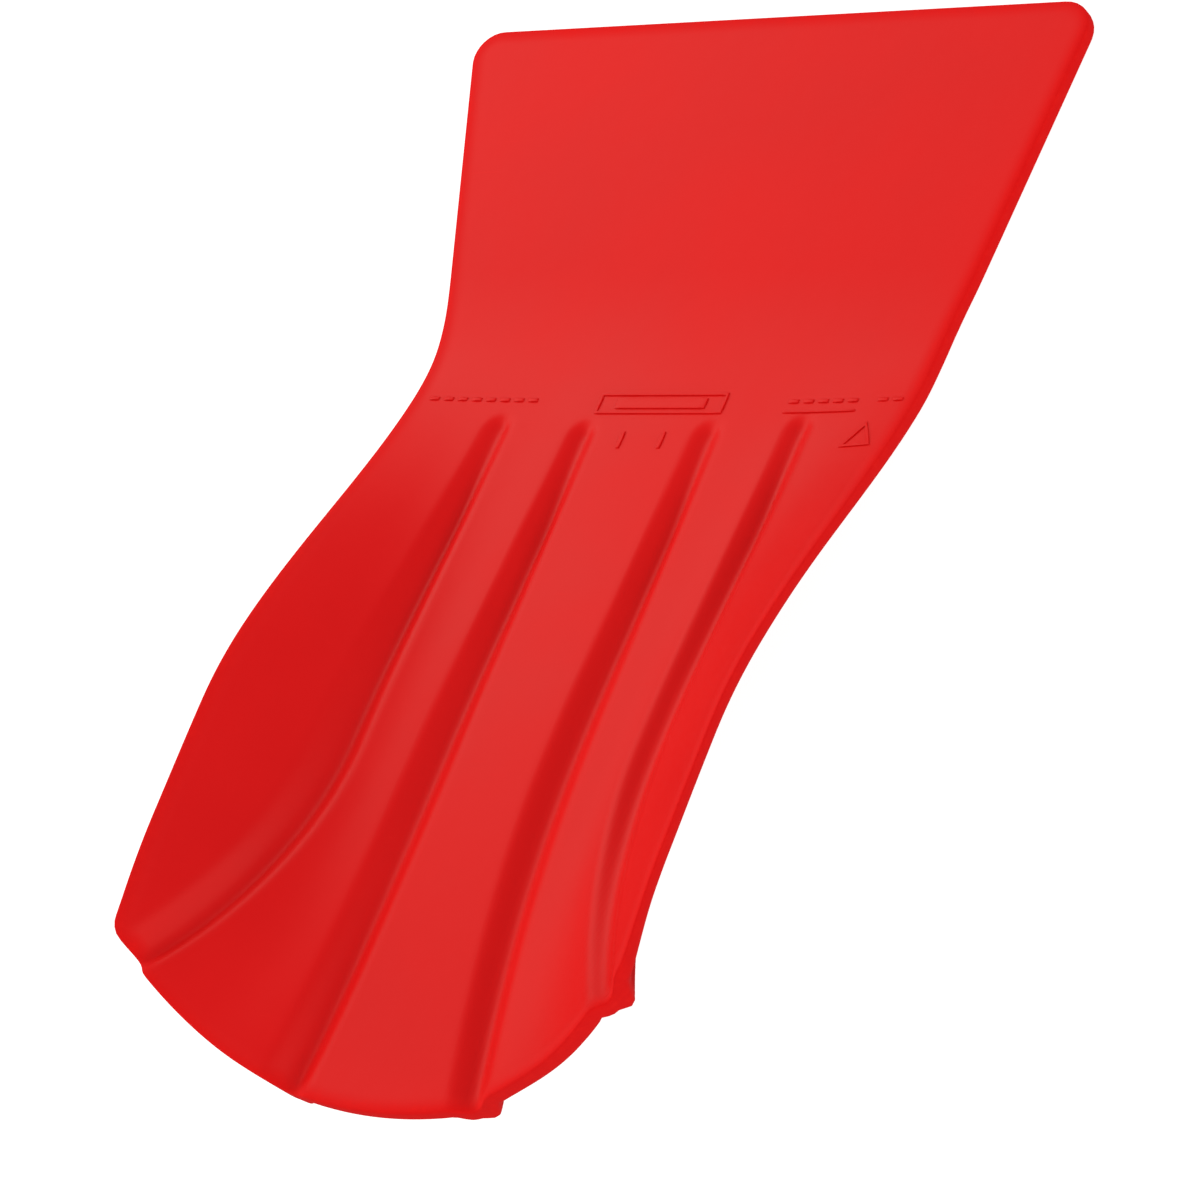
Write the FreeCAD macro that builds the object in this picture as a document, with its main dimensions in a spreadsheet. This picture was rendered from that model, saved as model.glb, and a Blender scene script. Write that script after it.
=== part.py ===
"""Moulded guard plate: a flat panel, a waist, a ramp and a fluted, upturned scoop.

Frame: +X across the guard, which is symmetric about X = 0, +Y towards the panel's
straight edge and +Z towards the hollow side of the scoop. The origin is the middle of
the flat part of the panel's underside. Lengths are millimetres, slopes are rise over run.

Shapes are worked out from two plan coordinates: side, the distance from the centre
plane, and down, the distance from the waist line towards the lip.
"""
import FreeCAD, Part
import math
import os
import Sketcher

DIMENSIONS = [
    # the flat panel
    ("flat_length", 87.0, "flat part of the panel, straight edge to the start of the bend"),
    ("edge_half_width", 110.6, "centre plane to the panel's side at its straight edge"),
    ("panel_corner", 9.5, "radius of the panel's two corners"),
    ("panel_wall", 6.0, "wall of the panel"),
    # the waist and the ramp
    ("waist_half_width", 87.6, "centre plane to the side at the waist line"),
    ("waist_corner", 144.0, "radius of the side where the panel meets the scoop"),
    ("bend_half", 24.0, "half the plan length of the bend at the waist"),
    ("ramp_slope", 0.23, "rise of the ramp"),
    # the scoop
    ("scoop_length", 257.4, "waist line to the lip, in plan"),
    ("lip_half_width", 84.1, "centre plane to the scoop's corner"),
    ("lip_corner", 9.0, "radius of the scoop's two corners"),
    ("lip_middle", 35.0, "half width of the lip's middle arc"),
    ("lip_middle_arc", 123.0, "radius of the lip's middle arc"),
    ("lip_side_arc", 101.0, "radius of the lip's two side arcs"),
    ("scoop_wall", 6.4, "wall of the scoop's floor"),
    ("wing_edge_wall", 4.0, "wall along the edges of the wings"),
    ("levelling_at", 163.5, "waist line to the middle of the second, levelling bend"),
    ("levelling_half", 45.0, "half the plan length of the levelling bend"),
    ("tail_slope", 0.09, "rise of the floor after the levelling bend"),
    ("tail_blend", 20.0, "half the length over which the section starts to change there"),
    # the trough's cross-section
    ("trough_run", 147.5, "waist line to where the trough has its full section"),
    ("floor_slope", 0.09, "rise of the strips beside the inner flutes, on the ramp"),
    ("floor_slope_lip", 0.65, "the same at the lip"),
    ("wing_slope", 0.73, "extra rise of the wings outside the outer flutes, on the ramp"),
    ("wing_slope_lip", 0.3, "the same at the lip"),
    ("floor_fold", 10.0, "half width of the fold under an inner flute"),
    ("wing_fold", 17.0, "half width of the fold under an outer flute"),
    ("strip_sag", 4.4, "how far the strips between the flutes sag at the lip"),
    # the flutes: grooves in the hollow side and ribs on the back
    ("flute_depth", 4.5, "depth of a flute's groove"),
    ("rib_depth", 4.6, "how far its rib stands out of the back"),
    ("flute_half_width", 8.2, "half width of a flute at the surface, at its full width"),
    ("flute_tip_half_width", 5.6, "half width of a flute next to its round end"),
    ("flute_widening", 130.0, "length over which a flute gets its full width"),
    ("flute_tip_depth", 0.5, "share of its depth that a flute has next to its round end"),
    ("flute_deepening", 40.0, "length over which a flute gets its full depth"),
    ("inner_flute", 21.6, "centre plane to an inner flute"),
    ("inner_start", 35.8, "waist line to the round end of an inner flute"),
    ("inner_flare", 657.0, "radius on which an inner flute turns outwards"),
    ("outer_flute", 52.1, "centre plane to an outer flute"),
    ("outer_start", 33.8, "waist line to the round end of an outer flute"),
    ("outer_flare", 142.5, "radius on which an outer flute turns outwards"),
    ("flare_at", 145.0, "waist line to where the flutes start to turn outwards"),
    ("flute_end_stretch", 0.8, "how long a flute's round end is: 1 is round, less is longer"),
    # the raised marks, all plain; their places are measured from the waist line
    ("mark_height", 0.4, "how far a mark stands out of the surface"),
    ("frame_x", 1.5, "centre plane to the frame's middle"),
    ("frame_down", 23.5, "waist line to the frame's middle"),
    ("frame_length", 44.0, "the raised frame, along X"),
    ("frame_width", 7.6, "the raised frame, along Y"),
    ("frame_line", 0.9, "width of the frame's line"),
    ("bar_length", 31.0, "the plain bar inside the frame, along X"),
    ("bar_width", 3.8, "the plain bar inside the frame, along Y"),
    ("stroke_x", 7.0, "centre plane to each of the two short strokes"),
    ("stroke_down", 37.0, "waist line to the strokes' middle"),
    ("stroke_length", 6.0, "a short stroke, along Y"),
    ("stroke_width", 1.2, "a short stroke, along X"),
    ("rule_inset", 31.1, "side at the waist line to the rule's middle"),
    ("rule_down", 26.9, "waist line to the rule"),
    ("rule_length", 24.5, "the rule under the right row of dashes"),
    ("rule_width", 0.7, "width of the rule"),
    ("dash_length", 3.2, "one dash of a row, along X"),
    ("dash_width", 1.3, "one dash of a row, along Y"),
    ("dash_pitch", 5.0, "from one dash to the next"),
    ("right_row_inset", 41.1, "side at the waist line to the innermost dash of the right row"),
    ("right_row_down", 23.0, "waist line to the right row"),
    ("left_row_inset", 43.6, "side at the waist line to the innermost dash of the left row"),
    ("left_row_down", 22.3, "waist line to the left row"),
    ("triangle_inset", 12.4, "side at the waist line to the triangle's middle"),
    ("triangle_down", 38.0, "waist line to the triangle's middle"),
    ("triangle_radius", 6.4, "triangle's middle to its corners"),
    ("triangle_line", 0.9, "width of the triangle's line"),
]

ROW_PITCH = 4.5        # most distance between the rows of points of a moulded surface
COLUMN_PITCH = 2.4     # and between its columns
LEVEL_ROWS = 6         # rows beyond the joint with the panel, where the surface is level
WALL_RUN = 120.0       # the wall changes from the panel's to the scoop's over this length
WING_RUN = 100.0       # the wings get thinner over this length,
WING_STEP = 2.0        # starting this far outside an outer flute
WING_TAPER = 20.0      # and over this width
TRIM_MARGIN = 12.0     # how far slabs stand out of the outline before they are trimmed
PATCH_MARGIN = 1.0     # how far the skin under a mark reaches past it
BLANK_DEPTH = 20.0     # the outline's blank starts this far below the panel
BLANK_HEIGHT = 120.0   # and is this tall
RIGHT_DASHES = (0, 1, 2, 3, 4, 6, 7)      # places along the right row that hold a dash
LEFT_DASHES = range(8)                    # and along the left row

doc = FreeCAD.newDocument("guard_plate")
sheet = doc.addObject("Spreadsheet::Sheet", "Dims")
for row, (alias, value, meaning) in enumerate(DIMENSIONS, start=1):
    sheet.set(f"A{row}", alias)
    sheet.set(f"B{row}", str(value))
    sheet.set(f"C{row}", meaning)
    sheet.setAlias(f"B{row}", alias)
doc.recompute()


def dim(alias):
    return float(sheet.get(alias))


WAIST_Y = -(dim("flat_length") / 2 + dim("bend_half"))


# ---- the moulded surface ------------------------------------------------------------

def ease(share):
    """0 to 1 with no slope at either end."""
    share = min(max(share, 0.0), 1.0)
    return share * share * (3.0 - 2.0 * share)


def turn(run, half):
    """Height of a line of slope 1 that leaves the level through a bend of +-half."""
    if run <= -half:
        return 0.0
    if run >= half:
        return run
    return (run + half) ** 2 / (4.0 * half)


def outer_line(down):
    """Distance of an outer flute from the centre plane."""
    radius = dim("outer_flare")
    run = min(max(down - dim("flare_at"), 0.0), 0.9 * radius)
    return dim("outer_flute") + radius - math.sqrt(radius ** 2 - run ** 2)


def inner_line(down):
    """Distance of an inner flute from the centre plane."""
    radius = dim("inner_flare")
    run = min(max(down - dim("flare_at"), 0.0), 0.9 * radius)
    return dim("inner_flute") + radius - math.sqrt(radius ** 2 - run ** 2)


def flute(side, down, line, start):
    """Depth of one flute, 0 to 1: a cosine groove with a round end at start."""
    run = max(down - start, 0.0)
    half_width = dim("flute_tip_half_width")
    half_width += (dim("flute_half_width") - half_width) * ease(run / dim("flute_widening"))
    depth = dim("flute_tip_depth")
    depth += (1.0 - depth) * ease(run / dim("flute_deepening"))
    along = min(down - start, 0.0) * dim("flute_end_stretch")
    off = math.hypot(side - line(max(down, start)), along)
    if off >= half_width:
        return 0.0
    return depth * 0.5 * (1.0 + math.cos(math.pi * off / half_width))


def flutes(side, down):
    """Depth of the two flutes of one side, 0 to 1."""
    inner = flute(side, down, inner_line, dim("inner_start"))
    return inner + flute(side, down, outer_line, dim("outer_start"))


def hollow(side, down, depth):
    """Height above the panel's upper face, with the flutes as deep as depth."""
    level = dim("ramp_slope") * turn(down, dim("bend_half"))
    level -= (dim("ramp_slope") - dim("tail_slope")) * turn(down - dim("levelling_at"),
                                                           dim("levelling_half"))
    tail = turn(down - dim("levelling_at"), dim("tail_blend"))
    tail /= dim("scoop_length") - dim("levelling_at")
    floor = dim("floor_slope") + tail * (dim("floor_slope_lip") - dim("floor_slope"))
    wing = dim("wing_slope") + tail * (dim("wing_slope_lip") - dim("wing_slope"))
    trough = floor * turn(side - inner_line(down), dim("floor_fold"))
    trough += wing * turn(side - outer_line(down), dim("wing_fold"))
    level += ease(down / dim("trough_run")) * trough
    strip = (side - inner_line(down)) / (outer_line(down) - inner_line(down))
    level -= dim("strip_sag") * tail * math.sin(math.pi * min(max(strip, 0.0), 1.0)) ** 2
    return level - depth * flutes(side, down)


def wall(side, down):
    """Thickness at right angles to the surface, away from the ribs."""
    floor = dim("panel_wall")
    floor += (dim("scoop_wall") - dim("panel_wall")) * ease((down + dim("bend_half")) / WALL_RUN)
    thinning = ease(down / WING_RUN) * ease((side - outer_line(down) - WING_STEP) / WING_TAPER)
    return floor - (dim("scoop_wall") - dim("wing_edge_wall")) * thinning


def upper(side, down):
    """Z of the hollow side."""
    return dim("panel_wall") + hollow(side, down, dim("flute_depth"))


def lower(side, down):
    """Z of the back: the hollow side moved down by the wall, with the ribs."""
    step = 0.4
    across = (upper(side + step, down) - upper(abs(side - step), down)) / (2 * step)
    along = (upper(side, down + step) - upper(side, down - step)) / (2 * step)
    drop = wall(side, down) * math.sqrt(1.0 + across ** 2 + along ** 2)
    return dim("panel_wall") + hollow(side, down, dim("rib_depth")) - drop


def mark_top(side, down):
    """Z of the raised marks' tops."""
    return upper(side, down) + dim("mark_height")


def moulded_surface(height):
    """A smooth surface through height(side, down), from the panel's joint to past the lip.

    One row of points lies on the joint and a few more beyond it, so that the surface is
    level there; it is then cut off at the joint.
    """
    joint = WAIST_Y + dim("bend_half")
    border = dim("edge_half_width") + TRIM_MARGIN
    length = dim("bend_half") + dim("scoop_length") + TRIM_MARGIN
    rows = math.ceil(length / ROW_PITCH)
    columns = 2 * math.ceil(border / COLUMN_PITCH)
    row_step = length / rows
    column_step = 2 * border / columns
    heights = []
    for column in range(columns + 1):
        side = abs(column_step * column - border)
        line = [length - dim("bend_half") - row_step * row for row in range(rows + LEVEL_ROWS + 1)]
        heights.append([height(side, down) for down in line])
    surface = Part.BSplineSurface()
    surface.interpolate(heights, -border, column_step, joint - length, row_step)
    surface.segment(-border, border, joint - length, joint)
    return surface


def slab(top, bottom):
    """The solid between two moulded surfaces, closed by four flat sides."""
    first_x, last_x, first_y, last_y = top.bounds()
    faces = [top.toShape(), bottom.toShape()]
    for above, below in (
        (top.uIso(first_x), bottom.uIso(first_x)),
        (top.uIso(last_x), bottom.uIso(last_x)),
        (top.vIso(first_y), bottom.vIso(first_y)),
        (top.vIso(last_y), bottom.vIso(last_y)),
    ):
        posts = [Part.makeLine(above.value(at), below.value(at))
                 for at in (above.FirstParameter, above.LastParameter)]
        wire = Part.Wire(Part.__sortEdges__([above.toShape(), below.toShape()] + posts))
        faces.append(Part.Face(wire))
    shell = Part.makeShell(faces)
    shell.sewShape()
    solid = Part.makeSolid(shell)
    if solid.Volume < 0:
        solid.reverse()
    return solid


upper_surface = moulded_surface(upper)

scoop_slab = doc.addObject("Part::Feature", "scoop_slab")
scoop_slab.Shape = slab(upper_surface, moulded_surface(lower))


def box(name, length, width, height, x, y, z):
    """A Part::Box whose sizes and corner are expressions on the sheet."""
    piece = doc.addObject("Part::Box", name)
    piece.setExpression("Length", length)
    piece.setExpression("Width", width)
    piece.setExpression("Height", height)
    piece.setExpression("Placement.Base.x", x)
    piece.setExpression("Placement.Base.y", y)
    piece.setExpression("Placement.Base.z", z)
    return piece


panel_slab = box(
    "panel_slab",
    f"2 * (Dims.edge_half_width + {TRIM_MARGIN})",
    f"Dims.flat_length + {TRIM_MARGIN}",
    "Dims.panel_wall",
    f"-Dims.edge_half_width - {TRIM_MARGIN}",
    "-Dims.flat_length / 2",
    "0",
)

# ---- the outline in plan ------------------------------------------------------------

def half_outline():
    """Corners and arc centres of the outline's right half."""
    middle_r = dim("lip_middle_arc")
    side_r = dim("lip_side_arc")
    lip_y = WAIST_Y - dim("scoop_length")
    centre = FreeCAD.Vector(0, lip_y + middle_r, 0)
    tilt = math.asin(dim("lip_middle") / middle_r)
    joint = centre + FreeCAD.Vector(math.sin(tilt), -math.cos(tilt), 0) * middle_r
    side_centre = joint - FreeCAD.Vector(math.sin(tilt), -math.cos(tilt), 0) * side_r
    reach = dim("lip_half_width") - side_centre.x
    corner = FreeCAD.Vector(dim("lip_half_width"),
                            side_centre.y - math.sqrt(side_r ** 2 - reach ** 2), 0)
    waist = FreeCAD.Vector(dim("waist_half_width"), WAIST_Y, 0)
    edge = FreeCAD.Vector(dim("edge_half_width"), dim("flat_length") / 2, 0)
    return edge, waist, corner, joint, centre, side_centre


def mirrored(point):
    return FreeCAD.Vector(-point.x, point.y, point.z)


def arc(centre, start, end):
    """The counter-clockwise arc from start to end."""
    circle = Part.Circle(centre, FreeCAD.Vector(0, 0, 1), (start - centre).Length)
    first = math.atan2(start.y - centre.y, start.x - centre.x)
    last = math.atan2(end.y - centre.y, end.x - centre.x)
    return Part.ArcOfCircle(circle, first, last)


blank = doc.addObject("PartDesign::Body", "outline_blank")
outline = blank.newObject("Sketcher::SketchObject", "outline")
origin = {feature.Role: feature for feature in blank.Origin.OriginFeatures}
outline.AttachmentSupport = (origin["XY_Plane"], "")
outline.MapMode = "FlatFace"
outline.AttachmentOffset = FreeCAD.Placement(FreeCAD.Vector(0, 0, -BLANK_DEPTH), FreeCAD.Rotation())

edge, waist, corner, joint, centre, side_centre = half_outline()
EDGE, RIGHT_PANEL, LEFT_PANEL, RIGHT_SCOOP, LEFT_SCOOP, RIGHT_LIP, LEFT_LIP, MIDDLE_LIP = range(8)
for curve in (
    Part.LineSegment(mirrored(edge), edge),
    Part.LineSegment(edge, waist),
    Part.LineSegment(mirrored(edge), mirrored(waist)),
    Part.LineSegment(waist, corner),
    Part.LineSegment(mirrored(waist), mirrored(corner)),
    arc(side_centre, joint, corner),
    arc(mirrored(side_centre), mirrored(corner), mirrored(joint)),
    arc(centre, mirrored(joint), joint),
):
    outline.addGeometry(curve, False)

START, END, MIDDLE = 1, 2, 3
ORIGIN, Y_AXIS = -1, -2
fixed = [
    ("Coincident", EDGE, END, RIGHT_PANEL, START),
    ("Coincident", EDGE, START, LEFT_PANEL, START),
    ("Coincident", RIGHT_PANEL, END, RIGHT_SCOOP, START),
    ("Coincident", LEFT_PANEL, END, LEFT_SCOOP, START),
    ("Coincident", RIGHT_SCOOP, END, RIGHT_LIP, END),
    ("Coincident", LEFT_SCOOP, END, LEFT_LIP, START),
    ("Tangent", RIGHT_LIP, START, MIDDLE_LIP, END),
    ("Tangent", LEFT_LIP, END, MIDDLE_LIP, START),
    ("Symmetric", EDGE, START, EDGE, END, Y_AXIS),
    ("Symmetric", RIGHT_PANEL, END, LEFT_PANEL, END, Y_AXIS),
    ("Symmetric", RIGHT_SCOOP, END, LEFT_SCOOP, END, Y_AXIS),
    ("Symmetric", MIDDLE_LIP, START, MIDDLE_LIP, END, Y_AXIS),
]
for rule in fixed:
    outline.addConstraint(Sketcher.Constraint(*rule))
driven = [
    ("edge_x", ("DistanceX", ORIGIN, START, EDGE, END, edge.x), "Dims.edge_half_width"),
    ("edge_y", ("DistanceY", ORIGIN, START, EDGE, END, edge.y), "Dims.flat_length / 2"),
    ("waist_x", ("DistanceX", ORIGIN, START, RIGHT_PANEL, END, waist.x), "Dims.waist_half_width"),
    ("waist_y", ("DistanceY", RIGHT_PANEL, END, ORIGIN, START, -waist.y),
     "Dims.flat_length / 2 + Dims.bend_half"),
    ("lip_x", ("DistanceX", ORIGIN, START, RIGHT_SCOOP, END, corner.x), "Dims.lip_half_width"),
    ("joint_x", ("DistanceX", ORIGIN, START, MIDDLE_LIP, END, joint.x), "Dims.lip_middle"),
    ("centre_y", ("DistanceY", MIDDLE_LIP, MIDDLE, ORIGIN, START, -centre.y),
     "Dims.flat_length / 2 + Dims.bend_half + Dims.scoop_length - Dims.lip_middle_arc"),
    ("middle_radius", ("Radius", MIDDLE_LIP, dim("lip_middle_arc")), "Dims.lip_middle_arc"),
    ("right_radius", ("Radius", RIGHT_LIP, dim("lip_side_arc")), "Dims.lip_side_arc"),
]
for name, rule, expression in driven:
    index = outline.addConstraint(Sketcher.Constraint(*rule))
    outline.renameConstraint(index, name)
    outline.setExpression(f"Constraints.{name}", expression)
doc.recompute()

pad = blank.newObject("PartDesign::Pad", "blank_pad")
pad.Profile = outline
pad.Length = BLANK_HEIGHT
doc.recompute()


def upright_edges(feature, *places):
    """Names of the feature's edges that stand upright at the given plan points."""
    names = []
    for number, candidate in enumerate(feature.Shape.Edges, start=1):
        low = candidate.BoundBox
        if low.XLength > 0.01 or low.YLength > 0.01:
            continue
        for place in places:
            if math.hypot(low.XMin - place.x, low.YMin - place.y) < 0.05:
                names.append(f"Edge{number}")
    return names


def round_corners(name, base, radius, *places):
    """A PartDesign fillet on the base's upright edges at the given plan points."""
    fillet = blank.newObject("PartDesign::Fillet", name)
    fillet.Base = (base, upright_edges(base, *places))
    fillet.setExpression("Radius", radius)
    doc.recompute()
    return fillet


rounded = round_corners("panel_corners", pad, "Dims.panel_corner", edge, mirrored(edge))
rounded = round_corners("waist_corners", rounded, "Dims.waist_corner", waist, mirrored(waist))
rounded = round_corners("lip_corners", rounded, "Dims.lip_corner", corner, mirrored(corner))
blank.Tip = rounded

# ---- the guard shell ----------------------------------------------------------------

whole_slab = doc.addObject("Part::Fuse", "whole_slab")
whole_slab.Base = panel_slab
whole_slab.Tool = scoop_slab

guard_shell = doc.addObject("Part::Common", "guard_shell")
guard_shell.Base = whole_slab
guard_shell.Tool = blank
guard_shell.Label = "guard_shell"
doc.recompute()

sub_parts = [guard_shell]

# ---- the raised marks ---------------------------------------------------------------

MARK_Y = "-(Dims.flat_length / 2 + Dims.bend_half)"
mark_surface = moulded_surface(mark_top)


def from_side(inset):
    """Expression for a place that lies an inset in from the side at the waist line."""
    return f"(Dims.waist_half_width - Dims.{inset})"


def patch(surface, around):
    """The piece of a moulded surface over a plan box, with a little to spare."""
    piece = surface.copy()
    piece.segment(around.XMin - PATCH_MARGIN, around.XMax + PATCH_MARGIN,
                  around.YMin - PATCH_MARGIN, around.YMax + PATCH_MARGIN)
    return piece


def bar(name, x, down, length, width):
    """An upright blank for one bar of a mark, centred at x and down."""
    return box(
        name,
        length,
        width,
        f"{BLANK_HEIGHT}",
        f"{x} - {length} / 2",
        f"{MARK_Y} - {down} - {width} / 2",
        "0",
    )


def ring(name, outside, inside):
    """What is left of one blank when a smaller one is taken out of it."""
    cut = doc.addObject("Part::Cut", name)
    cut.Base = outside
    cut.Tool = inside
    return cut


def group(name, blanks):
    """Several blanks as one."""
    together = doc.addObject("Part::Compound", name)
    together.Links = blanks
    return together


def raised(node, blanks):
    """A mark: the part of its blanks that lies in a thin skin on the hollow side."""
    doc.recompute()
    around = blanks.Shape.BoundBox
    skin = doc.addObject("Part::Feature", f"{node}_skin")
    skin.Shape = slab(patch(mark_surface, around), patch(upper_surface, around))
    mark = doc.addObject("Part::Common", node)
    mark.Base = blanks
    mark.Tool = skin
    mark.Label = node
    sub_parts.append(mark)


def prism(name, radius):
    """An upright three-sided blank that points towards the panel."""
    piece = doc.addObject("Part::Prism", name)
    piece.Polygon = 3
    piece.setExpression("Circumradius", radius)
    piece.Height = BLANK_HEIGHT
    piece.Placement = FreeCAD.Placement(FreeCAD.Vector(), FreeCAD.Rotation(90, 0, 0))
    piece.setExpression("Placement.Base.x", from_side("triangle_inset"))
    piece.setExpression("Placement.Base.y", f"{MARK_Y} - Dims.triangle_down")
    return piece


frame_blank = bar("frame_blank", "Dims.frame_x", "Dims.frame_down",
                  "Dims.frame_length", "Dims.frame_width")
frame_window = bar("frame_window", "Dims.frame_x", "Dims.frame_down",
                   "(Dims.frame_length - 2 * Dims.frame_line)",
                   "(Dims.frame_width - 2 * Dims.frame_line)")
raised("badge_frame", ring("frame_ring", frame_blank, frame_window))

raised("badge_bar", bar("bar_blank", "Dims.frame_x", "Dims.frame_down",
                        "Dims.bar_length", "Dims.bar_width"))

raised("short_strokes", group("stroke_blanks", [
    bar("left_stroke", "-Dims.stroke_x", "Dims.stroke_down", "Dims.stroke_width", "Dims.stroke_length"),
    bar("right_stroke", "Dims.stroke_x", "Dims.stroke_down", "Dims.stroke_width", "Dims.stroke_length"),
]))

raised("rule_line", bar("rule_blank", from_side("rule_inset"), "Dims.rule_down",
                        "Dims.rule_length", "Dims.rule_width"))

raised("right_dashes", group("right_row", [
    bar(f"right_dash_{number}", f"({from_side('right_row_inset')} + {number} * Dims.dash_pitch)",
        "Dims.right_row_down", "Dims.dash_length", "Dims.dash_width")
    for number in RIGHT_DASHES
]))

raised("left_dashes", group("left_row", [
    bar(f"left_dash_{number}", f"-({from_side('left_row_inset')} + {number} * Dims.dash_pitch)",
        "Dims.left_row_down", "Dims.dash_length", "Dims.dash_width")
    for number in LEFT_DASHES
]))

# the inner triangle's corners are two line widths further in, so that the line is one wide
raised("triangle_mark", ring(
    "triangle_ring",
    prism("triangle_blank", "Dims.triangle_radius"),
    prism("triangle_window", "Dims.triangle_radius - 2 * Dims.triangle_line"),
))

# ---- check and write ----------------------------------------------------------------

doc.recompute()
for item in doc.Objects:
    if {"Invalid", "Error"} & set(item.State):
        raise RuntimeError(f"{item.Name} failed: {item.State}")
for piece in sub_parts:
    if piece.Shape.isNull() or not piece.Shape.isValid():
        raise RuntimeError(f"{piece.Label} has no valid shape")

os.makedirs("parts", exist_ok=True)
for piece in sub_parts:
    piece.Shape.exportStep(f"parts/{piece.Label}.step")
    print(piece.Label, len(piece.Shape.Solids), "solid(s)", round(piece.Shape.Volume / 1000, 2), "cm3",
          piece.Shape.BoundBox)
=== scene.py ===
"""Looks of the moulded guard plate: a red panel with a waist, a ramp and a fluted scoop.

Metres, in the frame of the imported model: +X across the guard, +Y towards the panel's straight
edge, +Z towards the hollow side. Shapes are worked out in millimetres from two plan
coordinates: side, the distance from the centre plane, and down, the distance from the waist
line towards the lip.
"""
import math
from bisect import bisect_left

import bmesh
import bpy
from mathutils import Matrix, Vector, kdtree


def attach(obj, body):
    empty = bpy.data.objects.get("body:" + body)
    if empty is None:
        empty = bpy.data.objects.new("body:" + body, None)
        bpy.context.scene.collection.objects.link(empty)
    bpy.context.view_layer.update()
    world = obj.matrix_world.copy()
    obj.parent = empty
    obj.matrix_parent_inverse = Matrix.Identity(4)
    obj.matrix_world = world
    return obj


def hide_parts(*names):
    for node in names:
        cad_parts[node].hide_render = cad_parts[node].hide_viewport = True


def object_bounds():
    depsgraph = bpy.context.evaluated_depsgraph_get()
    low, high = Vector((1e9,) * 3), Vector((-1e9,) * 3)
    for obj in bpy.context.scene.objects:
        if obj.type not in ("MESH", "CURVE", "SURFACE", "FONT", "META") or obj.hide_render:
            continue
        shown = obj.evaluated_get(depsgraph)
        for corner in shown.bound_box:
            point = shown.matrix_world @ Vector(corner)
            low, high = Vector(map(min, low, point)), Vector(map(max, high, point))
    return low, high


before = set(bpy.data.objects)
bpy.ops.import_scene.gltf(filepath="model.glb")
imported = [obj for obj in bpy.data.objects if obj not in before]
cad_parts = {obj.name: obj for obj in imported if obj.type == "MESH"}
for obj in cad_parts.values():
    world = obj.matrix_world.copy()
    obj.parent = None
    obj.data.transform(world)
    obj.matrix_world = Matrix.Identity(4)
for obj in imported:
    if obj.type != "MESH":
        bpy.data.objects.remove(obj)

cad_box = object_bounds()

MM = 0.001

# ---- sizes of the moulding, in millimetres ------------------------------------------

# the flat panel
FLAT_LENGTH = 87.0
EDGE_HALF_WIDTH = 110.6
PANEL_CORNER = 9.5
PANEL_WALL = 6.0

# the waist and the ramp
WAIST_HALF_WIDTH = 87.6
WAIST_CORNER = 144.0
BEND_HALF = 24.0
RAMP_SLOPE = 0.23

# the scoop
SCOOP_LENGTH = 257.4
LIP_HALF_WIDTH = 84.1
LIP_CORNER = 9.0
LIP_MIDDLE = 35.0
LIP_MIDDLE_ARC = 123.0
LIP_SIDE_ARC = 101.0
SCOOP_WALL = 6.4
WING_EDGE_WALL = 4.0
SLOPE_STEP = 0.4         # step over which the slope of the surface is measured
WALL_RUN = 120.0
WING_RUN = 100.0
WING_STEP = 2.0
WING_TAPER = 20.0
LEVELLING_AT = 163.5
LEVELLING_HALF = 45.0
TAIL_SLOPE = 0.09
TAIL_BLEND = 20.0

# the trough's cross-section
TROUGH_RUN = 147.5
FLOOR_SLOPE = 0.09
FLOOR_SLOPE_LIP = 0.65
WING_SLOPE = 0.73
WING_SLOPE_LIP = 0.3
FLOOR_FOLD = 10.0
WING_FOLD = 17.0
STRIP_SAG = 4.4

# the flutes: grooves in the hollow side and ribs on the back
FLUTE_DEPTH = 4.5
RIB_DEPTH = 4.6
FLUTE_HALF_WIDTH = 8.2
FLUTE_TIP_HALF_WIDTH = 5.6
FLUTE_WIDENING = 130.0
FLUTE_TIP_DEPTH = 0.5
FLUTE_DEEPENING = 40.0
FLUTE_END_STRETCH = 0.8
INNER_FLUTE = 21.6
INNER_START = 35.8
INNER_FLARE = 657.0
OUTER_FLUTE = 52.1
OUTER_START = 33.8
OUTER_FLARE = 142.5
FLARE_AT = 145.0
FLARE_LIMIT = 0.9        # share of a flare's radius that its line may follow

# the raised marks
MARK_HEIGHT = 0.4
MARK_ROOT = 0.3          # how far a mark reaches into the shell
MARK_EDGE = 0.25         # rounding of a mark's upper edges
MARK_STEP = 2.0          # longest stretch of a mark between points that follow the surface
MARK_HALVINGS = 6        # halvings that bring the longest bar below that
FRAME_X = 1.5
FRAME_DOWN = 23.5
FRAME_LENGTH = 44.0
FRAME_WIDTH = 7.6
FRAME_LINE = 0.9
BAR_LENGTH = 31.0
BAR_WIDTH = 3.8
STROKE_X = 7.0
STROKE_DOWN = 37.0
STROKE_LENGTH = 6.0
STROKE_WIDTH = 1.2
RULE_INSET = 31.1        # from the side at the waist line, as the rows and the triangle
RULE_DOWN = 26.9
RULE_LENGTH = 24.5
RULE_WIDTH = 0.7
DASH_LENGTH = 3.2
DASH_WIDTH = 1.3
DASH_PITCH = 5.0
RIGHT_ROW_INSET = 41.1
RIGHT_ROW_DOWN = 23.0
LEFT_ROW_INSET = 43.6
LEFT_ROW_DOWN = 22.3
RIGHT_DASHES = (0, 1, 2, 3, 4, 6, 7)
LEFT_DASHES = range(8)
TRIANGLE_INSET = 12.4
TRIANGLE_DOWN = 38.0
TRIANGLE_RADIUS = 6.4
TRIANGLE_LINE = 0.9

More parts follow.
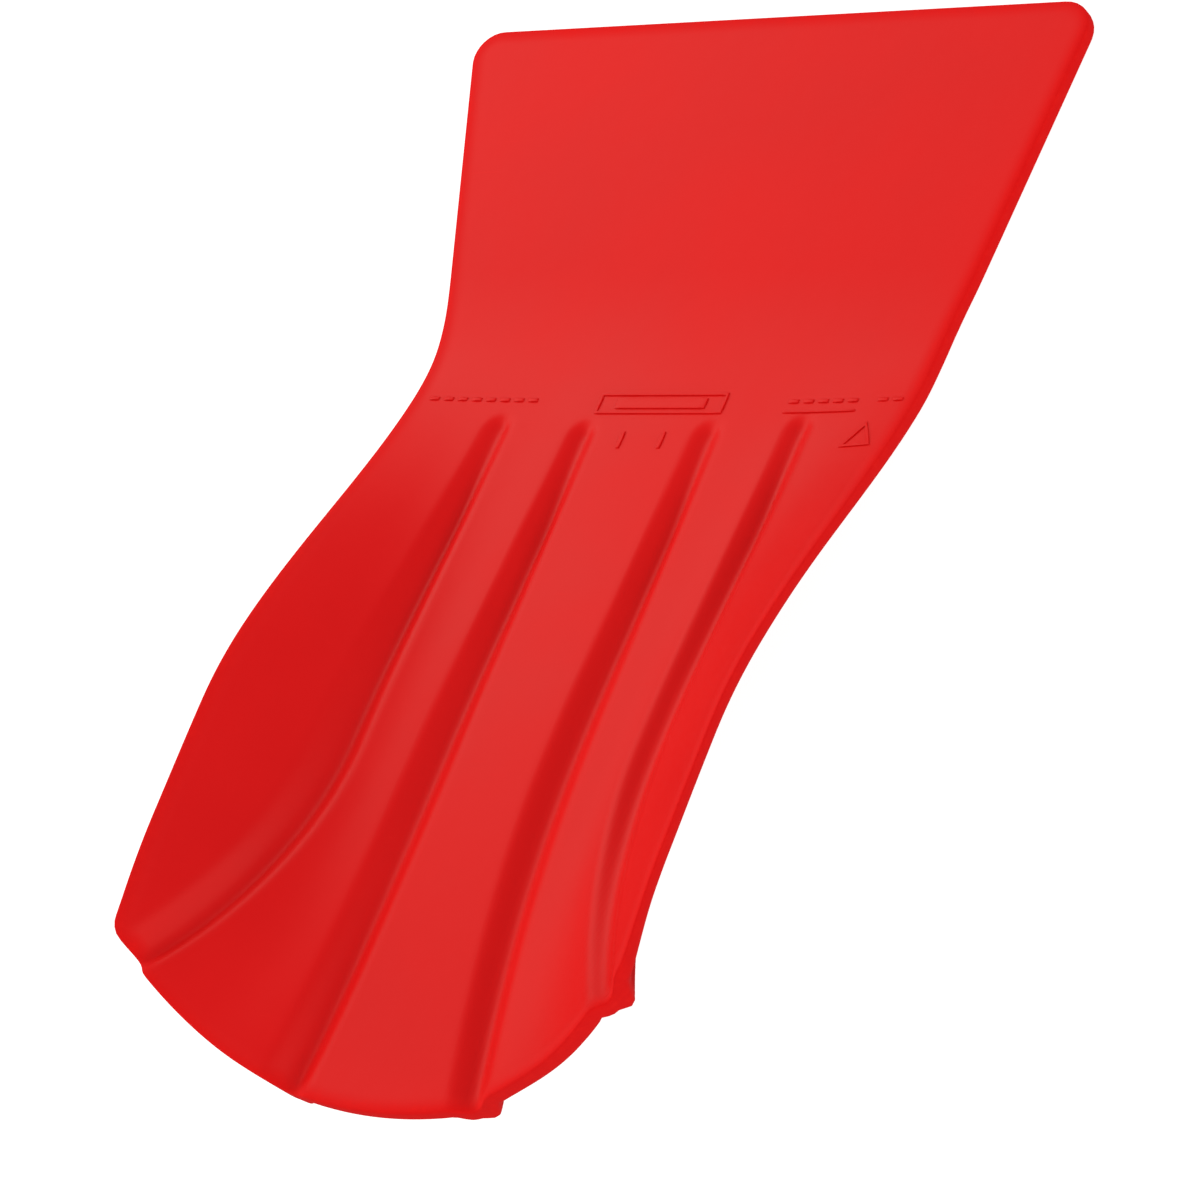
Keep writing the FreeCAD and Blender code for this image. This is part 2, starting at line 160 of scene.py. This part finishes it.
# the shell's mesh
NET_ACROSS = 124         # cells of the net that is laid over the outline
NET_ALONG = 226
ARC_STEPS = 24           # steps along each arc of the outline
RIM_ROUND = 2.3          # the net stops this far inside the outline
FRONT_ROUND = 1.1        # rounding of the edges on the hollow side
BACK_ROUND = 2.3         # and on the back
RIM_SEGMENTS = 4
RIM_BAND = 5.0           # width of the band along the edges that takes the scuff spots and the painted edge highlight

EDGE_Y = FLAT_LENGTH / 2
WAIST_Y = -(EDGE_Y + BEND_HALF)
LIP_Y = WAIST_Y - SCOOP_LENGTH


# ---- the moulded surface ------------------------------------------------------------

def ease(share):
    """0 to 1 with no slope at either end."""
    share = min(max(share, 0.0), 1.0)
    return share * share * (3.0 - 2.0 * share)


def turn(run, half):
    """Height of a line of slope 1 that leaves the level through a bend of +-half."""
    if run <= -half:
        return 0.0
    if run >= half:
        return run
    return (run + half) ** 2 / (4.0 * half)


def flare(down, start, radius):
    """Distance from the centre plane of a line that turns outwards on a radius."""
    run = min(max(down - FLARE_AT, 0.0), FLARE_LIMIT * radius)
    return start + radius - math.sqrt(radius ** 2 - run ** 2)


def outer_line(down):
    """Distance of an outer flute from the centre plane."""
    return flare(down, OUTER_FLUTE, OUTER_FLARE)


def inner_line(down):
    """Distance of an inner flute from the centre plane."""
    return flare(down, INNER_FLUTE, INNER_FLARE)


def flute(side, down, line, start):
    """Depth of one flute, 0 to 1: a cosine groove with a round end at start."""
    run = max(down - start, 0.0)
    widening = ease(run / FLUTE_WIDENING)
    half_width = FLUTE_TIP_HALF_WIDTH + (FLUTE_HALF_WIDTH - FLUTE_TIP_HALF_WIDTH) * widening
    depth = FLUTE_TIP_DEPTH + (1.0 - FLUTE_TIP_DEPTH) * ease(run / FLUTE_DEEPENING)
    along = min(down - start, 0.0) * FLUTE_END_STRETCH
    off = math.hypot(side - line(max(down, start)), along)
    if off >= half_width:
        return 0.0
    return depth * 0.5 * (1.0 + math.cos(math.pi * off / half_width))


def flutes(side, down):
    """Depth of the two flutes of one side, 0 to 1."""
    return flute(side, down, inner_line, INNER_START) + flute(side, down, outer_line, OUTER_START)


def hollow(side, down, depth):
    """Height above the panel's upper face, with the flutes as deep as depth."""
    level = RAMP_SLOPE * turn(down, BEND_HALF)
    level -= (RAMP_SLOPE - TAIL_SLOPE) * turn(down - LEVELLING_AT, LEVELLING_HALF)
    tail = turn(down - LEVELLING_AT, TAIL_BLEND) / (SCOOP_LENGTH - LEVELLING_AT)
    floor_rise = FLOOR_SLOPE + tail * (FLOOR_SLOPE_LIP - FLOOR_SLOPE)
    wing_rise = WING_SLOPE + tail * (WING_SLOPE_LIP - WING_SLOPE)
    trough = floor_rise * turn(side - inner_line(down), FLOOR_FOLD)
    trough += wing_rise * turn(side - outer_line(down), WING_FOLD)
    level += ease(down / TROUGH_RUN) * trough
    strip = (side - inner_line(down)) / (outer_line(down) - inner_line(down))
    level -= STRIP_SAG * tail * math.sin(math.pi * min(max(strip, 0.0), 1.0)) ** 2
    return level - depth * flutes(side, down)


def wall(side, down):
    """Thickness at right angles to the surface, away from the ribs."""
    floor_wall = PANEL_WALL + (SCOOP_WALL - PANEL_WALL) * ease((down + BEND_HALF) / WALL_RUN)
    thinning = ease(down / WING_RUN) * ease((side - outer_line(down) - WING_STEP) / WING_TAPER)
    return floor_wall - (SCOOP_WALL - WING_EDGE_WALL) * thinning


def upper(side, down):
    """Z of the hollow side."""
    return PANEL_WALL + hollow(side, down, FLUTE_DEPTH)


def lower(side, down):
    """Z of the back: the hollow side moved down by the wall, with the ribs."""
    step = SLOPE_STEP
    across = (upper(side + step, down) - upper(abs(side - step), down)) / (2 * step)
    along = (upper(side, down + step) - upper(side, down - step)) / (2 * step)
    drop = wall(side, down) * math.sqrt(1.0 + across ** 2 + along ** 2)
    return PANEL_WALL + hollow(side, down, RIB_DEPTH) - drop


# ---- the outline in plan ------------------------------------------------------------

def arc(centre, start, end):
    """Points of the shorter arc about centre from start to end."""
    first = math.atan2(start.y - centre.y, start.x - centre.x)
    last = math.atan2(end.y - centre.y, end.x - centre.x)
    swing = math.remainder(last - first, math.tau)
    radius = (start - centre).length
    points = []
    for step in range(ARC_STEPS + 1):
        angle = first + swing * step / ARC_STEPS
        points.append(centre + radius * Vector((math.cos(angle), math.sin(angle))))
    return points


def corner_arc(before, corner, after, radius):
    """Start, centre and end of the arc that rounds the corner of two straight lines."""
    back = (before - corner).normalized()
    ahead = (after - corner).normalized()
    half = back.angle(ahead) / 2
    centre = corner + (back + ahead).normalized() * (radius / math.sin(half))
    reach = radius / math.tan(half)
    return corner + back * reach, centre, corner + ahead * reach


def outline_paths():
    """The right half of the outline: its top edge, its side and its lip.

    They meet in the middle of the two rounded corners. The top edge and the lip start at
    the centre plane, and the side starts at the lip.
    """
    edge = Vector((EDGE_HALF_WIDTH, EDGE_Y))
    waist = Vector((WAIST_HALF_WIDTH, WAIST_Y))
    middle_centre = Vector((0.0, LIP_Y + LIP_MIDDLE_ARC))
    tilt = math.asin(LIP_MIDDLE / LIP_MIDDLE_ARC)
    leaning = Vector((math.sin(tilt), -math.cos(tilt)))
    joint = middle_centre + leaning * LIP_MIDDLE_ARC
    side_centre = joint - leaning * LIP_SIDE_ARC
    reach = LIP_HALF_WIDTH - side_centre.x
    fall = math.sqrt(LIP_SIDE_ARC ** 2 - reach ** 2)
    lip_corner = Vector((LIP_HALF_WIDTH, side_centre.y - fall))

    top_start, top_centre, top_end = corner_arc(Vector((0.0, EDGE_Y)), edge, waist, PANEL_CORNER)
    top_middle = top_centre + (edge - top_centre).normalized() * PANEL_CORNER
    waist_start, waist_centre, waist_end = corner_arc(edge, waist, lip_corner, WAIST_CORNER)

    # the lip's corner: a circle that touches the side's line and the lip's side arc
    down_line = (lip_corner - waist).normalized()
    inwards = Vector((down_line.y, -down_line.x))
    start = waist + inwards * LIP_CORNER - side_centre
    halfway = start.dot(down_line)
    room = (LIP_SIDE_ARC - LIP_CORNER) ** 2 - start.length_squared + halfway ** 2
    round_centre = side_centre + start + down_line * (math.sqrt(room) - halfway)
    round_start = round_centre - inwards * LIP_CORNER
    round_end = side_centre + (round_centre - side_centre).normalized() * LIP_SIDE_ARC
    round_middle = round_centre + (lip_corner - round_centre).normalized() * LIP_CORNER

    top = [Vector((0.0, EDGE_Y))] + arc(top_centre, top_start, top_middle)
    side = arc(top_centre, top_middle, top_end)[1:]
    side += arc(waist_centre, waist_start, waist_end)
    side += arc(round_centre, round_start, round_middle)
    lip = arc(round_centre, round_middle, round_end)[1:]
    lip += arc(side_centre, round_end, joint)[1:]
    lip += arc(middle_centre, joint, Vector((0.0, LIP_Y)))[1:]
    pairs = with_inset(top + side + lip, RIM_ROUND)
    top_corner = len(top) - 1
    lip_corner_at = len(top) + len(side) - 1
    return (pairs[:top_corner + 1], pairs[top_corner:lip_corner_at + 1][::-1],
            pairs[lip_corner_at:][::-1])


def with_inset(points, depth):
    """Each point of a path that runs clockwise, together with the place a depth inside it.

    A pair is kept as one vector: x and y inside, then x and y on the path.
    """
    pairs = []
    for number, point in enumerate(points):
        before = points[max(number - 1, 0)]
        after = points[min(number + 1, len(points) - 1)]
        ahead = (after - before).normalized()
        inside = point + Vector((ahead.y, -ahead.x)) * depth
        pairs.append(Vector((inside.x, inside.y, point.x, point.y)))
    return pairs


def walk(pairs):
    """A function that gives the pair at a share, 0 to 1, of the inner path's length."""
    lengths = [0.0]
    for here, there in zip(pairs, pairs[1:]):
        lengths.append(lengths[-1] + (there - here).xy.length)

    def at(share):
        want = min(max(share, 0.0), 1.0) * lengths[-1]
        last = min(max(bisect_left(lengths, want), 1), len(pairs) - 1)
        step = lengths[last] - lengths[last - 1]
        part = (want - lengths[last - 1]) / step if step > 0 else 0.0
        return pairs[last - 1].lerp(pairs[last], part)
    return at


TOP_PATH, SIDE_PATH, LIP_PATH = outline_paths()
TOP_AT, SIDE_AT, LIP_AT = walk(TOP_PATH), walk(SIDE_PATH), walk(LIP_PATH)


def plan(across, along):
    """Place of a point of the net: across is -1 to 1, along 0 at the lip to 1.

    The net covers the inner path. The second place is the same on the outline, where the
    point is on the net's border.
    """
    lip = LIP_AT(abs(across))
    top = TOP_AT(abs(across))
    side = SIDE_AT(along)
    corners = SIDE_PATH[0].lerp(SIDE_PATH[-1], along)
    between = lip.lerp(top, along)
    offset = side - corners
    places = []
    for x, y, offset_x, offset_y in (
        (between.x, between.y, offset.x, offset.y),
        (between.z, between.w, offset.z, offset.w),
    ):
        places.append(Vector((math.copysign(x, across) + across * offset_x, y + offset_y)))
    return places


# ---- small helpers ------------------------------------------------------------------

def finished(bm, name, *nodes):
    """The bmesh, in millimetres, as a piece that stands for the given nodes."""
    bmesh.ops.scale(bm, vec=(MM, MM, MM), verts=bm.verts)
    bmesh.ops.recalc_face_normals(bm, faces=bm.faces)
    for face in bm.faces:
        face.smooth = True
    mesh = bpy.data.meshes.new(name)
    bm.to_mesh(mesh)
    bm.free()
    piece = bpy.data.objects.new(name, mesh)
    bpy.context.scene.collection.objects.link(piece)
    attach(piece, "root")
    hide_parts(*nodes)
    return piece


# ---- the shell ----------------------------------------------------------------------

def shell_skin(bm, height, radius, sense):
    """One skin of the shell: a net at height(side, down), with a quarter-round border.

    The rounding goes down from the skin where sense is -1, and up where it is 1.
    """
    made = bmesh.ops.create_grid(bm, x_segments=NET_ACROSS, y_segments=NET_ALONG, size=1.0)
    ring = {}
    for vert in made["verts"]:
        inside, outside = plan(vert.co.x, (vert.co.y + 1.0) / 2.0)
        vert.co = (inside.x, inside.y, height(abs(inside.x), WAIST_Y - inside.y))
        if vert.is_boundary:
            ring[vert] = (inside, outside)
    for segment in range(1, RIM_SEGMENTS + 1):
        angle = math.pi / 2 * segment / RIM_SEGMENTS
        drop = sense * radius * (1.0 - math.cos(angle))
        border = [edge for edge in bm.edges
                  if edge.is_boundary and ring.keys() >= set(edge.verts)]
        grown = bmesh.ops.extrude_edge_only(bm, edges=border)["geom"]
        next_ring = {}
        for vert in grown:
            if not isinstance(vert, bmesh.types.BMVert):
                continue
            others = [edge.other_vert(vert) for edge in vert.link_edges]
            inside, outside = next(ring[other] for other in others if other in ring)
            place = inside.lerp(outside, 1.0 - (1.0 - math.sin(angle)) * radius / RIM_ROUND)
            vert.co = (place.x, place.y, height(abs(place.x), WAIST_Y - place.y) + drop)
            next_ring[vert] = (inside, outside)
        ring = next_ring


def guard_shell():
    """The moulding: a hollow side and a back, joined by an upright wall."""
    bm = bmesh.new()
    shell_skin(bm, upper, FRONT_ROUND, -1.0)
    shell_skin(bm, lower, BACK_ROUND, 1.0)
    borders = [edge for edge in bm.edges if edge.is_boundary]
    bmesh.ops.bridge_loops(bm, edges=borders)
    piece = finished(bm, "moulded_shell", "guard_shell")
    mark_rim(piece)
    return piece


def mark_rim(piece):
    """Stores how near each point is to the outline: 1 at the edge, 0 past the rim's band."""
    points = []
    for at, cells in ((TOP_AT, NET_ACROSS), (SIDE_AT, NET_ALONG), (LIP_AT, NET_ACROSS)):
        points += [at(step / cells) for step in range(cells + 1)]
    tree = kdtree.KDTree(len(points))
    for number, point in enumerate(points):
        tree.insert((point.z, point.w, 0.0), number)
    tree.balance()
    rim = piece.data.attributes.new("rim", "FLOAT", "POINT")
    for vert, value in zip(piece.data.vertices, rim.data):
        distance = tree.find((abs(vert.co.x) / MM, vert.co.y / MM, 0.0))[2]
        value.value = max(0.0, 1.0 - distance / RIM_BAND)


# ---- the raised marks ---------------------------------------------------------------

def bar(bm, x, down, length, width):
    """The flat shape of one bar, centred at x and down."""
    made = bmesh.ops.create_grid(bm, x_segments=1, y_segments=1, size=0.5)
    size = Matrix.Diagonal((length, width, 1.0, 1.0))
    place = Matrix.Translation((x, WAIST_Y - down, 0.0))
    bmesh.ops.transform(bm, matrix=place @ size, verts=made["verts"])


def hollow_out(bm, line):
    """Leaves only a line's width of the flat shape, along its border."""
    inner = list(bm.faces)
    bmesh.ops.inset_region(bm, faces=inner, thickness=line,
                           use_boundary=True, use_even_offset=True)
    bmesh.ops.delete(bm, geom=inner, context="FACES_ONLY")


def raise_mark(bm, name, node):
    """Drapes the flat shapes over the hollow side and gives them their height."""
    for _ in range(MARK_HALVINGS):
        long_edges = [edge for edge in bm.edges if edge.calc_length() > MARK_STEP]
        if not long_edges:
            break
        bmesh.ops.subdivide_edges(bm, edges=long_edges, cuts=1, use_grid_fill=True)
    grown = bmesh.ops.extrude_face_region(bm, geom=list(bm.faces))["geom"]
    raised = {item for item in grown if isinstance(item, bmesh.types.BMVert)}
    for vert in bm.verts:
        lift = MARK_HEIGHT if vert in raised else -MARK_ROOT
        vert.co.z = upper(abs(vert.co.x), WAIST_Y - vert.co.y) + lift
    lids = {face for face in bm.faces if raised.issuperset(face.verts)}
    rims = [edge for edge in bm.edges if len(lids.intersection(edge.link_faces)) == 1]
    bmesh.ops.bevel(bm, geom=rims, offset=MARK_EDGE, offset_type="OFFSET", affect="EDGES",
                    segments=2, profile=0.5, material=-1, clamp_overlap=False)
    return finished(bm, name, node)


def bars_mark(name, node, places, length, width):
    """A mark of one or more equal bars, at (x, down)."""
    bm = bmesh.new()
    for x, down in places:
        bar(bm, x, down, length, width)
    return raise_mark(bm, name, node)


def frame_mark():
    """The plain frame at the waist."""
    bm = bmesh.new()
    bar(bm, FRAME_X, FRAME_DOWN, FRAME_LENGTH, FRAME_WIDTH)
    hollow_out(bm, FRAME_LINE)
    return raise_mark(bm, "mark_frame", "badge_frame")


def triangle_mark():
    """The small hollow triangle, pointing towards the panel."""
    bm = bmesh.new()
    bmesh.ops.create_circle(bm, cap_ends=True, segments=3, radius=TRIANGLE_RADIUS)
    place = Matrix.Translation((WAIST_HALF_WIDTH - TRIANGLE_INSET, WAIST_Y - TRIANGLE_DOWN, 0.0))
    bmesh.ops.transform(bm, matrix=place, verts=bm.verts)
    hollow_out(bm, TRIANGLE_LINE)
    return raise_mark(bm, "mark_triangle", "triangle_mark")


def marks():
    """All the raised marks."""
    right_start = WAIST_HALF_WIDTH - RIGHT_ROW_INSET
    left_start = WAIST_HALF_WIDTH - LEFT_ROW_INSET
    right_row = [(right_start + number * DASH_PITCH, RIGHT_ROW_DOWN) for number in RIGHT_DASHES]
    left_row = [(-left_start - number * DASH_PITCH, LEFT_ROW_DOWN) for number in LEFT_DASHES]
    rule_place = (WAIST_HALF_WIDTH - RULE_INSET, RULE_DOWN)
    strokes = [(-STROKE_X, STROKE_DOWN), (STROKE_X, STROKE_DOWN)]
    return [
        frame_mark(),
        bars_mark("mark_bar", "badge_bar", [(FRAME_X, FRAME_DOWN)], BAR_LENGTH, BAR_WIDTH),
        bars_mark("mark_strokes", "short_strokes", strokes, STROKE_WIDTH, STROKE_LENGTH),
        bars_mark("mark_rule", "rule_line", [rule_place], RULE_LENGTH, RULE_WIDTH),
        bars_mark("mark_right_row", "right_dashes", right_row, DASH_LENGTH, DASH_WIDTH),
        bars_mark("mark_left_row", "left_dashes", left_row, DASH_LENGTH, DASH_WIDTH),
        triangle_mark(),
    ]


# ---- material -----------------------------------------------------------------------

RED = (0.82, 0.0050, 0.0052, 1.0)
DEEP_RED = (0.78, 0.0042, 0.0048, 1.0)
# lighter, paler red of the scuffs: real wear, and along the edges also a painted highlight of the
# rounded edges
SCUFF_AND_EDGE_HIGHLIGHT_RED = (0.88, 0.012, 0.010, 1.0)
SPECULAR = 0.14
SATIN_LOW = 0.40         # roughness of the shinier patches
SATIN_HIGH = 0.47        # and of the duller ones
EDGE_DULLING = 0.5       # added roughness along the edges
SCUFF_DULLING = 0.15     # and in a full scuff
SCUFF_AND_HIGHLIGHT_TINT = 0.5         # share of the scuffed colour in a full scuff; along the edges this lighter red is also a painted highlight
GRAIN_HEIGHT = 0.000012
PEEL_HEIGHT = 0.00005
GRAIN_PER_METRE = 2600.0
PEEL_PER_METRE = 160.0
PATCHES_PER_METRE = 14.0
HAIRLINES_PER_METRE = 60.0
HAIRLINE_TURN = 0.5
HAIRLINE_STRETCH = (1.0, 14.0, 4.0)
HAIRLINE_STRENGTH = 0.35
SPOTS_PER_METRE = 420.0


def add_node(tree, kind, **settings):
    """A new node with some of its properties set."""
    node = tree.nodes.new(kind)
    for key, value in settings.items():
        setattr(node, key, value)
    return node


def noise(tree, place, scale, detail, roughness):
    """A noise texture at a size per metre, read at place."""
    texture = add_node(tree, "ShaderNodeTexNoise")
    texture.inputs["Scale"].default_value = scale
    texture.inputs["Detail"].default_value = detail
    texture.inputs["Roughness"].default_value = roughness
    tree.links.new(place, texture.inputs["Vector"])
    return texture.outputs["Fac"]


def remap(tree, value, low, high, to_low, to_high):
    """The value taken from the range low to high to the range to_low to to_high."""
    node = add_node(tree, "ShaderNodeMapRange", clamp=True)
    node.inputs["From Min"].default_value = low
    node.inputs["From Max"].default_value = high
    node.inputs["To Min"].default_value = to_low
    node.inputs["To Max"].default_value = to_high
    tree.links.new(value, node.inputs["Value"])
    return node.outputs["Result"]


def times(tree, first, second):
    """The product of two values; the second may be a number."""
    node = add_node(tree, "ShaderNodeMath", operation="MULTIPLY")
    tree.links.new(first, node.inputs[0])
    if isinstance(second, float):
        node.inputs[1].default_value = second
    else:
        tree.links.new(second, node.inputs[1])
    return node.outputs[0]


def plus(tree, first, second):
    """The sum of two values."""
    node = add_node(tree, "ShaderNodeMath", operation="ADD")
    tree.links.new(first, node.inputs[0])
    tree.links.new(second, node.inputs[1])
    return node.outputs[0]


def group_of(name, inputs, outputs):
    """A node group with float inputs and outputs, and its two end nodes."""
    group = bpy.data.node_groups.new(name, "ShaderNodeTree")
    for title, kind in inputs:
        group.interface.new_socket(name=title, in_out="INPUT", socket_type=kind)
    for title, kind in outputs:
        group.interface.new_socket(name=title, in_out="OUTPUT", socket_type=kind)
    return group, group.nodes.new("NodeGroupInput"), group.nodes.new("NodeGroupOutput")


def moulded_skin():
    """The skin of a moulding: fine spark-eroded grain over a slow orange peel.

    Height is in metres. Patches is a slow 0 to 1 pattern, for gloss and colour.
    """
    group, start, end = group_of(
        "moulded skin",
        [("Place", "NodeSocketVector"), ("Grain", "NodeSocketFloat"), ("Peel", "NodeSocketFloat")],
        [("Height", "NodeSocketFloat"), ("Patches", "NodeSocketFloat")],
    )
    place = start.outputs["Place"]
    fine = noise(group, place, GRAIN_PER_METRE, 2.0, 0.6)
    slow = noise(group, place, PEEL_PER_METRE, 2.0, 0.45)
    grain = times(group, fine, start.outputs["Grain"])
    peel = times(group, slow, start.outputs["Peel"])
    group.links.new(plus(group, grain, peel), end.inputs["Height"])
    clouds = noise(group, place, PATCHES_PER_METRE, 3.0, 0.5)
    patches = remap(group, clouds, 0.35, 0.65, 0.0, 1.0)
    group.links.new(patches, end.inputs["Patches"])
    return group


def scuffs_and_edge_highlight():
    """Faint scuffs: short hairlines and dull spots, strongest where Rim is 1; the lighter colour
    of the spots along the edges is also a painted highlight of the rounded edges.
    """
    group, start, end = group_of(
        "scuffs and edge highlight",
        [("Place", "NodeSocketVector"), ("Rim", "NodeSocketFloat")],
        [("Scuffs and highlight", "NodeSocketFloat")],
    )
    stretch = add_node(group, "ShaderNodeMapping")
    stretch.inputs["Rotation"].default_value = (0.0, 0.0, HAIRLINE_TURN)
    stretch.inputs["Scale"].default_value = HAIRLINE_STRETCH
    group.links.new(start.outputs["Place"], stretch.inputs["Vector"])
    streaks = noise(group, stretch.outputs["Vector"], HAIRLINES_PER_METRE, 3.0, 0.6)
    hairlines = remap(group, streaks, 0.66, 0.74, 0.0, HAIRLINE_STRENGTH)
    specks = noise(group, start.outputs["Place"], SPOTS_PER_METRE, 4.0, 0.7)
    spots = remap(group, specks, 0.45, 0.70, 0.0, 1.0)
    # spots along the edges: wear, and a painted highlight where they lighten the colour
    worn_and_highlit = times(group, spots, start.outputs["Rim"])
    group.links.new(plus(group, hairlines, worn_and_highlit), end.inputs["Scuffs and highlight"])
    return group


def moulded_red():
    """Through-coloured red polyolefin, satin as it leaves the mould."""
    material = bpy.data.materials.new("moulded red")
    material.use_nodes = True
    tree = material.node_tree
    shader = tree.nodes["Principled BSDF"]
    place = add_node(tree, "ShaderNodeTexCoord").outputs["Object"]

    skin = add_node(tree, "ShaderNodeGroup", node_tree=moulded_skin())
    skin.inputs["Grain"].default_value = GRAIN_HEIGHT
    skin.inputs["Peel"].default_value = PEEL_HEIGHT
    tree.links.new(place, skin.inputs["Place"])

    scuffs_and_highlight = add_node(tree, "ShaderNodeGroup", node_tree=scuffs_and_edge_highlight())
    rim = add_node(tree, "ShaderNodeAttribute", attribute_name="rim", attribute_type="GEOMETRY")
    tree.links.new(place, scuffs_and_highlight.inputs["Place"])
    tree.links.new(rim.outputs["Fac"], scuffs_and_highlight.inputs["Rim"])

    tone = add_node(tree, "ShaderNodeMix", data_type="RGBA")
    tone.inputs["A"].default_value = DEEP_RED
    tone.inputs["B"].default_value = RED
    tree.links.new(skin.outputs["Patches"], tone.inputs["Factor"])
    # mixes in the lighter scuffed red: wear, and along the edges a painted highlight
    worn_and_highlit = add_node(tree, "ShaderNodeMix", data_type="RGBA")
    worn_and_highlit.inputs["B"].default_value = SCUFF_AND_EDGE_HIGHLIGHT_RED
    tree.links.new(times(tree, scuffs_and_highlight.outputs["Scuffs and highlight"], SCUFF_AND_HIGHLIGHT_TINT), worn_and_highlit.inputs["Factor"])
    tree.links.new(tone.outputs["Result"], worn_and_highlit.inputs["A"])
    tree.links.new(worn_and_highlit.outputs["Result"], shader.inputs["Base Color"])

    satin = remap(tree, skin.outputs["Patches"], 0.0, 1.0, SATIN_LOW, SATIN_HIGH)
    dull = times(tree, rim.outputs["Fac"], EDGE_DULLING)
    scuffed = times(tree, scuffs_and_highlight.outputs["Scuffs and highlight"], SCUFF_DULLING)
    tree.links.new(plus(tree, plus(tree, satin, dull), scuffed), shader.inputs["Roughness"])

    bump = add_node(tree, "ShaderNodeBump")
    bump.inputs["Distance"].default_value = 1.0
    bump.inputs["Strength"].default_value = 1.0
    tree.links.new(skin.outputs["Height"], bump.inputs["Height"])
    tree.links.new(bump.outputs["Normal"], shader.inputs["Normal"])
    shader.inputs["Specular IOR Level"].default_value = SPECULAR
    return material


# ---- studio -------------------------------------------------------------------------

FLOOR_HALF = 6.0
FLOOR_GREY = 0.35
AIM = Vector((0.00466, -0.1580, 0.01945))
VIEW_AZIMUTH = math.radians(-32.05)      # from +X, counter-clockwise
VIEW_ELEVATION = math.radians(49.70)
VIEW_ROLL = math.radians(49.12)
VIEW_DISTANCE = 1.3222
VIEW_LENS = 139.08
VIEW_SENSOR = 36.0
VIEW_REACH = 50.0
WORLD_LIGHT = 0.57
FLOOR_GLOW = 0.92
LAMP_DISTANCE = 2.0
LAMP_SIZE = 1.2
LAMP_COLOUR = (1.0, 0.98, 0.84)
LAMPS = (                                # name, azimuth, elevation, watts
    ("left", 180.0, 30.0, 13.0),
    ("left_back", 135.0, 30.0, 11.0),
    ("right_low", 0.0, 15.0, 12.0),
    ("front_low", -90.0, 15.0, 8.0),
)


def towards(azimuth, elevation):
    """The unit vector at an azimuth from +X and an elevation, in radians."""
    level = math.cos(elevation)
    return Vector((level * math.cos(azimuth), level * math.sin(azimuth), math.sin(elevation)))


def floor():
    """A plain pale floor under the guard."""
    bm = bmesh.new()
    bmesh.ops.create_grid(bm, x_segments=1, y_segments=1, size=FLOOR_HALF)
    bmesh.ops.translate(bm, vec=(0.0, 0.0, cad_box[0][2]), verts=bm.verts)
    mesh = bpy.data.meshes.new("floor")
    bm.to_mesh(mesh)
    bm.free()
    piece = bpy.data.objects.new("floor", mesh)
    bpy.context.scene.collection.objects.link(piece)
    paint = bpy.data.materials.new("pale floor")
    paint.use_nodes = True
    shader = paint.node_tree.nodes["Principled BSDF"]
    shader.inputs["Base Color"].default_value = (FLOOR_GREY, FLOOR_GREY, FLOOR_GREY, 1.0)
    shader.inputs["Roughness"].default_value = 0.9
    shader.inputs["Specular IOR Level"].default_value = 0.1
    shader.inputs["Emission Color"].default_value = (1.0, 1.0, 1.0, 1.0)
    shader.inputs["Emission Strength"].default_value = FLOOR_GLOW
    mesh.materials.append(paint)
    piece.visible_diffuse = False        # the floor throws no light back on the guard
    piece.visible_glossy = False


def sky():
    """Soft, even light from all round, on a plain pale background."""
    world = bpy.data.worlds.new("studio")
    world.use_nodes = True
    tree = world.node_tree
    tree.nodes.clear()
    soft = add_node(tree, "ShaderNodeBackground")
    soft.inputs["Color"].default_value = (1.0, 1.0, 1.0, 1.0)
    soft.inputs["Strength"].default_value = WORLD_LIGHT
    plain = add_node(tree, "ShaderNodeBackground")
    plain.inputs["Color"].default_value = (1.0, 1.0, 1.0, 1.0)
    seen = add_node(tree, "ShaderNodeLightPath")
    either = add_node(tree, "ShaderNodeMixShader")
    end = add_node(tree, "ShaderNodeOutputWorld")
    tree.links.new(seen.outputs["Is Camera Ray"], either.inputs["Fac"])
    tree.links.new(soft.outputs["Background"], either.inputs[1])
    tree.links.new(plain.outputs["Background"], either.inputs[2])
    tree.links.new(either.outputs["Shader"], end.inputs["Surface"])
    bpy.context.scene.world = world
    world.cycles_visibility.glossy = False       # only the lamps shine back from the plastic


def soft_box(name, azimuth, elevation, watts):
    """A square area light that faces the guard."""
    light = bpy.data.lights.new(name, "AREA")
    light.size = LAMP_SIZE
    light.energy = watts
    light.color = LAMP_COLOUR
    lamp = bpy.data.objects.new(name, light)
    back = towards(math.radians(azimuth), math.radians(elevation))
    facing = back.to_track_quat("Z", "Y").to_matrix().to_4x4()
    lamp.matrix_world = Matrix.Translation(AIM + back * LAMP_DISTANCE) @ facing
    bpy.context.scene.collection.objects.link(lamp)


def camera():
    """The camera: it looks down at the hollow side, turned about its own axis."""
    back = towards(VIEW_AZIMUTH, VIEW_ELEVATION)
    level_right = Vector((-math.sin(VIEW_AZIMUTH), math.cos(VIEW_AZIMUTH), 0.0))
    level_up = back.cross(level_right)
    right = level_right * math.cos(VIEW_ROLL) - level_up * math.sin(VIEW_ROLL)
    up = back.cross(right)
    data = bpy.data.cameras.new("camera")
    data.lens = VIEW_LENS
    data.sensor_width = VIEW_SENSOR
    data.clip_end = VIEW_REACH
    eye = bpy.data.objects.new("camera", data)
    facing = Matrix((right, up, back)).transposed().to_4x4()
    eye.matrix_world = Matrix.Translation(AIM + back * VIEW_DISTANCE) @ facing
    bpy.context.scene.collection.objects.link(eye)
    bpy.context.scene.camera = eye


# ---- everything together ------------------------------------------------------------

red = moulded_red()
for piece in [guard_shell()] + marks():
    piece.data.materials.append(red)

floor()
sky()
for lamp in LAMPS:
    soft_box(*lamp)
camera()
bpy.context.scene.view_settings.view_transform = "Standard"
